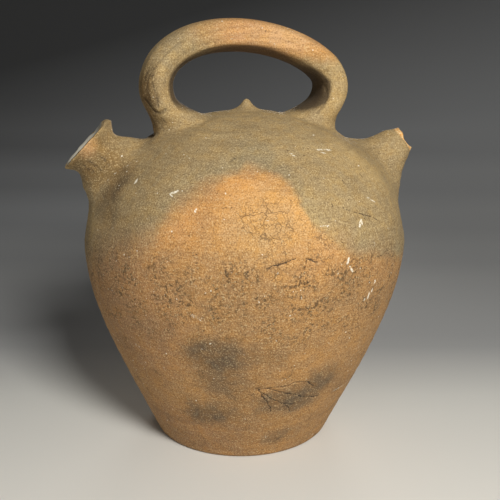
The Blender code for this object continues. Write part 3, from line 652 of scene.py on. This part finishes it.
def makeClay():
    material = bpy.data.materials.new("unglazed terracotta")
    material.use_nodes = True
    tree = material.node_tree
    shader = tree.nodes["Principled BSDF"]
    spot = spotGroup()
    tones = {name: toLinear(tone) for name, tone in clay["tones"].items()}
    smooth = {"interpolation_type": "SMOOTHSTEP"}
    over = {"data_type": "RGBA", "clamp_factor": True, "blend_type": "MIX"}
    times, timesPlus = {"operation": "MULTIPLY"}, {"operation": "MULTIPLY_ADD"}
    place = addNode(tree, "ShaderNodeTexCoord", None, None, "Object")

    def limits(name):
        # A share's numbers, under the names of the sockets that they go to
        return dict(zip(("From Min", "From Max", "To Min", "To Max"), clay["shares"][name]))

    def waved(size, amount):
        # The place, shifted to and fro by a wave
        wave = addNode(tree, "ShaderNodeTexNoise", None,
                       {"Vector": place, "Scale": 1 / size, "Detail": clay["waveDetail"]}, "Color")
        centred = addNode(tree, "ShaderNodeVectorMath", {"operation": "SUBTRACT"}, [wave, (0.5, 0.5, 0.5)])
        scaled = addNode(tree, "ShaderNodeVectorMath", {"operation": "SCALE"}, {0: centred, "Scale": amount})
        return addNode(tree, "ShaderNodeVectorMath", {"operation": "ADD"}, [place, scaled])

    def stain(under, tone, reading, name=None, within=None, blend="MIX"):
        # Lays a tone over the clay, as much as the reading says by itself or by the named share
        amount = reading
        if name:
            amount = addNode(tree, "ShaderNodeMapRange", smooth, {"Value": reading, **limits(name)})
        if within:
            amount = addNode(tree, "ShaderNodeMath", times, [amount, within])
        return addNode(tree, "ShaderNodeMix", {**over, "blend_type": blend},
                       {0: amount, 6: under, 7: tones[tone]}, 2)

    def patchAt(centre, size, edge, strength):
        # A soft-edged oval of the skin
        return addNode(tree, "ShaderNodeGroup", {"node_tree": spot},
                       {"Vector": drifting, "Centre": inMetres(centre).tolist(), "Size": inMetres(size).tolist(),
                        "Edge": edge, "Strength": strength})

    drifting = waved(*clay["drifting"])
    level = addNode(tree, "ShaderNodeMapping", None, {"Vector": place, "Scale": (1.0, 1.0, clay["levelStretch"])})
    readAt = {"still": place, "shivering": waved(*clay["shivering"]), "level": level}
    noises = {name: addNode(tree, "ShaderNodeTexNoise", None,
                            {"Vector": readAt[at], "Scale": 1 / size, "Detail": detail, "Roughness": rough})
              for name, (size, detail, rough, at) in clay["noises"].items()}
    grit, mottle = noises["grit"], noises["mottle"]
    marks = {name: addNode(tree, "ShaderNodeAttribute", {"attribute_name": name}, None, "Fac")
             for name in ("hollow", "split", "fleck", "chalk", "fresh", "inner")}

    # How far a place is above the flame's edge, which is a curve over the turn round the jug
    axes = addNode(tree, "ShaderNodeSeparateXYZ", None, [drifting]).node.outputs
    upright = addNode(tree, "ShaderNodeMath", timesPlus, [axes["Z"], -places["leanPerHeight"], axes["X"]])
    turn = addNode(tree, "ShaderNodeMath", {"operation": "ARCTAN2"}, [axes["Y"], upright])
    turnShare = addNode(tree, "ShaderNodeMath", timesPlus, [turn, 0.5 / pi, 0.5])
    curve = addNode(tree, "ShaderNodeFloatCurve", None, {"Value": turnShare})
    heights = curve.node.mapping.curves[0].points
    edges = [((turnAt + 180) / 360, height / curveTop) for turnAt, height in flameEdge]
    heights[0].location, heights[1].location = edges[0], edges[-1]
    for edge in edges[1:-1]:
        heights.new(*edge)
    curve.node.mapping.update()
    above = addNode(tree, "ShaderNodeMath", timesPlus, [curve, -curveTop * mm, axes["Z"]])

    # Ground colours: olive smoke above the edge, greyest beside it, and below it orange that browns downwards
    upper = stain(tones["olive"], "greyOlive", above, "greyByFlame")
    lower = stain(tones["brown"], "orange", axes["Z"], "orangeUpwards")
    lower = stain(lower, "brown", above, "brownDownwards")
    soft = addNode(tree, "ShaderNodeMapRange", smooth, {"Value": turn, **limits("flameSoftness")})
    below = addNode(tree, "ShaderNodeMath", times, [soft, -1.0])
    flame = addNode(tree, "ShaderNodeMapRange", smooth, {"Value": above, "From Min": soft, "From Max": below})
    colour = addNode(tree, "ShaderNodeMix", over, {0: flame, 6: upper, 7: lower}, 2)
    cloudy = addNode(tree, "ShaderNodeMapRange", smooth, {"Value": mottle, **limits("cloudy")})
    for tone, *patch in firing:
        colour = stain(colour, tone, patchAt(*patch), within=cloudy)
    colour = stain(colour, "pale", mottle, "paleMottle", blend="SOFT_LIGHT")
    colour = stain(colour, "smoke", noises["drift"], "smokeDrift")

    # Grit: dark and light grains of the paste, and a denser dark speckle gathered in patches round the belly
    upTo = addNode(tree, "ShaderNodeMapRange", smooth, {"Value": axes["Z"], **limits("bellyFromBelow")})
    downTo = addNode(tree, "ShaderNodeMapRange", smooth, {"Value": axes["Z"], **limits("bellyFromAbove")})
    belly = addNode(tree, "ShaderNodeMath", times, [upTo, downTo])
    patches = addNode(tree, "ShaderNodeMapRange", smooth, {"Value": noises["patches"], **limits("gathered")})
    gathered = addNode(tree, "ShaderNodeMath", times, [belly, patches])
    darkest = addNode(tree, "ShaderNodeMapRange", smooth, {"Value": axes["Z"], **limits("darkestGrit")})
    dark = addNode(tree, "ShaderNodeMapRange", smooth, {"Value": grit, **limits("darkGrit"), "To Max": darkest})
    colour = stain(colour, "grit", dark)
    colour = stain(colour, "grit", noises["strewn"], "speckle", within=gathered)
    colour = stain(colour, "pale", grit, "paleGrit")
    colour = stain(colour, "lime", noises["flecks"], "limeFlecks")
    colour = stain(colour, "soot", noises["flecks"], "sootFlecks")

    # A wandering net of crazing with a finer one inside it, both fading in and out
    crazed = patchAt(*clay["crazedPlace"])
    fading = addNode(tree, "ShaderNodeMath", {"operation": "ADD"}, [noises["fading"], crazed])
    cellWave, cellShift = clay["cellWave"]

    def crazing(size, width, name):
        cells = addNode(tree, "ShaderNodeTexVoronoi", {"feature": "DISTANCE_TO_EDGE"},
                        {"Vector": waved(size * cellWave, size * cellShift), "Scale": 1 / size}, "Distance")
        lines = addNode(tree, "ShaderNodeMapRange", smooth,
                        {"Value": cells, "From Min": width / size, "From Max": 0.0})
        amount = addNode(tree, "ShaderNodeMapRange", smooth, {"Value": fading, **limits(name)})
        return addNode(tree, "ShaderNodeMath", times, [lines, amount])

    nets = [crazing(*clay["crazing"]), crazing(*clay["fineCrazing"])]
    bothNets = addNode(tree, "ShaderNodeMath", {"operation": "MAXIMUM"}, nets)
    inFlame = addNode(tree, "ShaderNodeMath", timesPlus, [flame, clay["crazedInFlame"], clay["crazedAnywhere"]])
    net = addNode(tree, "ShaderNodeMath", times, [bothNets, inFlame])
    colour = stain(colour, "grit", net)

    # Streaks of the turning, dirt in the marks with the painted shade of the strap, and thin lines whose edges the
    # grit makes ragged
    colour = stain(colour, "soot", noises["streaks"], "streaks")
    colour = stain(colour, "crack", marks["hollow"], within=clay["hollowDepth"])
    ragged = addNode(tree, "ShaderNodeMath", timesPlus, [grit, *clay["raggedByGrit"]])
    for name, wander, tone in (("fleck", noises["strewn"], "crack"), ("split", ragged, "crack"),
                               ("chalk", ragged, "lime")):
        distance = addNode(tree, "ShaderNodeMath", timesPlus, [wander, clay["lineRaggedness"][name], marks[name]])
        colour = stain(colour, tone, distance, name)

    # The inside of the mouth, and the fresh break with the paste's own colour
    colour = stain(colour, "mouthInside", marks["inner"], within=clay["insideDepth"])
    paste = stain(tones["paste"], "pale", grit, "freshGrit")
    colour = addNode(tree, "ShaderNodeMix", over, {0: marks["fresh"], 6: colour, 7: paste}, 2)

    # Relief too fine for the mesh
    relief = clay["relief"]
    tooth = addNode(tree, "ShaderNodeMath", times, [grit, relief["grit"]])
    for reading, name in ((noises["tooth"], "tooth"), (noises["streaks"], "streaks"), (net, "net")):
        tooth = addNode(tree, "ShaderNodeMath", timesPlus, [reading, relief[name], tooth])
    bump = addNode(tree, "ShaderNodeBump", None, {"Strength": 1.0, "Distance": 1 * mm, "Height": tooth})

    roughness = addNode(tree, "ShaderNodeMapRange", smooth, {"Value": mottle, **limits("roughness")})
    for socket, name in ((colour, "Base Color"), (roughness, "Roughness"), (bump, "Normal")):
        tree.links.new(socket, shader.inputs[name])
    material.diffuse_color = tones["brown"]
    return material


jugMesh.materials.clear()
jugMesh.materials.append(makeClay())
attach(jug, "root")
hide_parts("jug_lower", "jug_upper")
print("jug dressed")


# Studio: pale paper that sweeps up behind the jug, with a painted fade of light that darkens away from it, one
# broad key from the right front, weak fills, and a camera where the photograph was taken

studio = {
    "halfWidth": 3.0, "front": -2.0, "back": 1.5, "sweep": 1.1, "height": 1.6, "sweepSteps": 12,
    # how far from the camera's foot, and the paper's tone there, a painted falloff of the lamps' light
    "tones": [(0.0, "#e8e7e1"), (0.45, "#deddd7"), (0.66, "#cfcfca"), (0.92, "#a2a3a3"), (1.40, "#8a8c8e"),
              (1.98, "#434445")],
    "skew": 0.42,               # painted light: the paper's fade runs a little aslant, and is lighter to the right, where the key stands
    "paperRoughness": 0.9,
    "wall": "#8a8a88", "wallStrength": 0.08,
    # name, place, width, watts, colour, and how wide the beam opens in degrees
    "lights": [("key", (0.17, -1.16, 1.0), 0.4, 23, "#fffcf7", 180),
               ("fill", (-0.85, -0.85, 0.32), 0.6, 2.2, "#f3f4f6", 180),
               ("rear", (0.35, 0.95, 0.20), 0.35, 0.8, "#fffaf2", 60)],
    "aim": (0, 0, 0.14),
}

# Turn, pitch and lens as the photograph has them; distances in metres
view = {"turn": 14.2, "pitch": 14.5, "distance": 0.576, "height": 0.2915, "side": 0.0068, "lens": 54, "film": 36}


def makePaper():
    # A sheet on the floor that curves up behind: its own lengthwise place is kept, for the paper's shading
    form = bmesh.new()
    start = form.verts.new((-studio["halfWidth"], studio["front"], 0))
    end = form.verts.new((studio["halfWidth"], studio["front"], 0))
    edge = form.edges.new((start, end))
    walked = 0.0
    run = form.verts.layers.float.new("run")
    steps = [Vector((0, -studio["front"], 0)), Vector((0, studio["back"] - studio["sweep"], 0))]
    count = studio["sweepSteps"]
    for k in range(count):
        turn = (k + 0.5) / count * pi / 2
        steps.append(Vector((0, cos(turn), sin(turn))) * studio["sweep"] * pi / 2 / count)
    steps.append(Vector((0, 0, studio["height"])))
    for step in steps:
        walked += step.length
        made = bmesh.ops.extrude_edge_only(form, edges=[edge])["geom"]
        verts = [item for item in made if isinstance(item, bmesh.types.BMVert)]
        bmesh.ops.translate(form, verts=verts, vec=step)
        for vert in verts:
            vert[run] = walked - studio["skew"] * min(1, max(0, walked + studio["front"])) * vert.co.x
        edge = next(item for item in made if isinstance(item, bmesh.types.BMEdge))
    facing = Matrix.Rotation(-radians(view["turn"]), 3, "Z")
    bmesh.ops.rotate(form, verts=form.verts, cent=(0, 0, 0), matrix=facing)
    bmesh.ops.recalc_face_normals(form, faces=form.faces)
    mesh = bpy.data.meshes.new("paper")
    form.to_mesh(mesh)
    form.free()
    mesh.shade_smooth()
    paper = bpy.data.objects.new("paper", mesh)
    bpy.context.scene.collection.objects.link(paper)
    material = bpy.data.materials.new("studio paper")     # smooth matt paper, its fade a painted falloff of light
    material.use_nodes = True
    tree = material.node_tree
    shader = tree.nodes["Principled BSDF"]
    lengthwise = addNode(tree, "ShaderNodeAttribute", {"attribute_name": "run"}, None, "Fac")
    reach = studio["tones"][-1][0]
    footOfCamera = -studio["front"] - view["distance"]
    placed = addNode(tree, "ShaderNodeMapRange", None,
                     {"Value": lengthwise, "From Min": footOfCamera, "From Max": reach + footOfCamera})
    tones = addNode(tree, "ShaderNodeValToRGB", None, {"Fac": placed})
    elements = tones.node.color_ramp.elements
    elements[0].color = toLinear(studio["tones"][0][1])
    elements[1].color = toLinear(studio["tones"][-1][1])
    for at, tone in studio["tones"][1:-1]:
        elements.new(at / reach).color = toLinear(tone)
    tree.links.new(tones, shader.inputs["Base Color"])
    shader.inputs["Roughness"].default_value = studio["paperRoughness"]
    mesh.materials.append(material)


def makeLights():
    for name, place, size, power, colour, beam in studio["lights"]:
        lamp = bpy.data.lights.new(name, "AREA")
        lamp.energy = power
        lamp.size = size
        lamp.spread = radians(beam)
        lamp.color = toLinear(colour)[:3]
        holder = bpy.data.objects.new(name, lamp)
        holder.location = place
        holder.visible_camera = False
        holder.rotation_euler = (Vector(studio["aim"]) - Vector(place)).to_track_quat("-Z", "Y").to_euler()
        bpy.context.scene.collection.objects.link(holder)
    world = bpy.data.worlds.new("studio")
    world.use_nodes = True
    world.node_tree.nodes["Background"].inputs["Color"].default_value = toLinear(studio["wall"])
    world.node_tree.nodes["Background"].inputs["Strength"].default_value = studio["wallStrength"]
    bpy.context.scene.world = world


def makeCamera():
    turn, pitch = radians(view["turn"]), radians(view["pitch"])
    lens = bpy.data.cameras.new("camera")
    lens.lens = view["lens"]
    lens.sensor_width = view["film"]
    camera = bpy.data.objects.new("camera", lens)
    camera.location = (view["side"] * cos(turn) - view["distance"] * sin(turn),
                       -view["side"] * sin(turn) - view["distance"] * cos(turn), view["height"])
    forward = Vector((sin(turn) * cos(pitch), cos(turn) * cos(pitch), -sin(pitch)))
    camera.rotation_euler = forward.to_track_quat("-Z", "Y").to_euler()
    bpy.context.scene.collection.objects.link(camera)
    bpy.context.scene.camera = camera


makePaper()
makeLights()
makeCamera()
bpy.context.scene.view_settings.view_transform = "Standard"
print("studio ready")
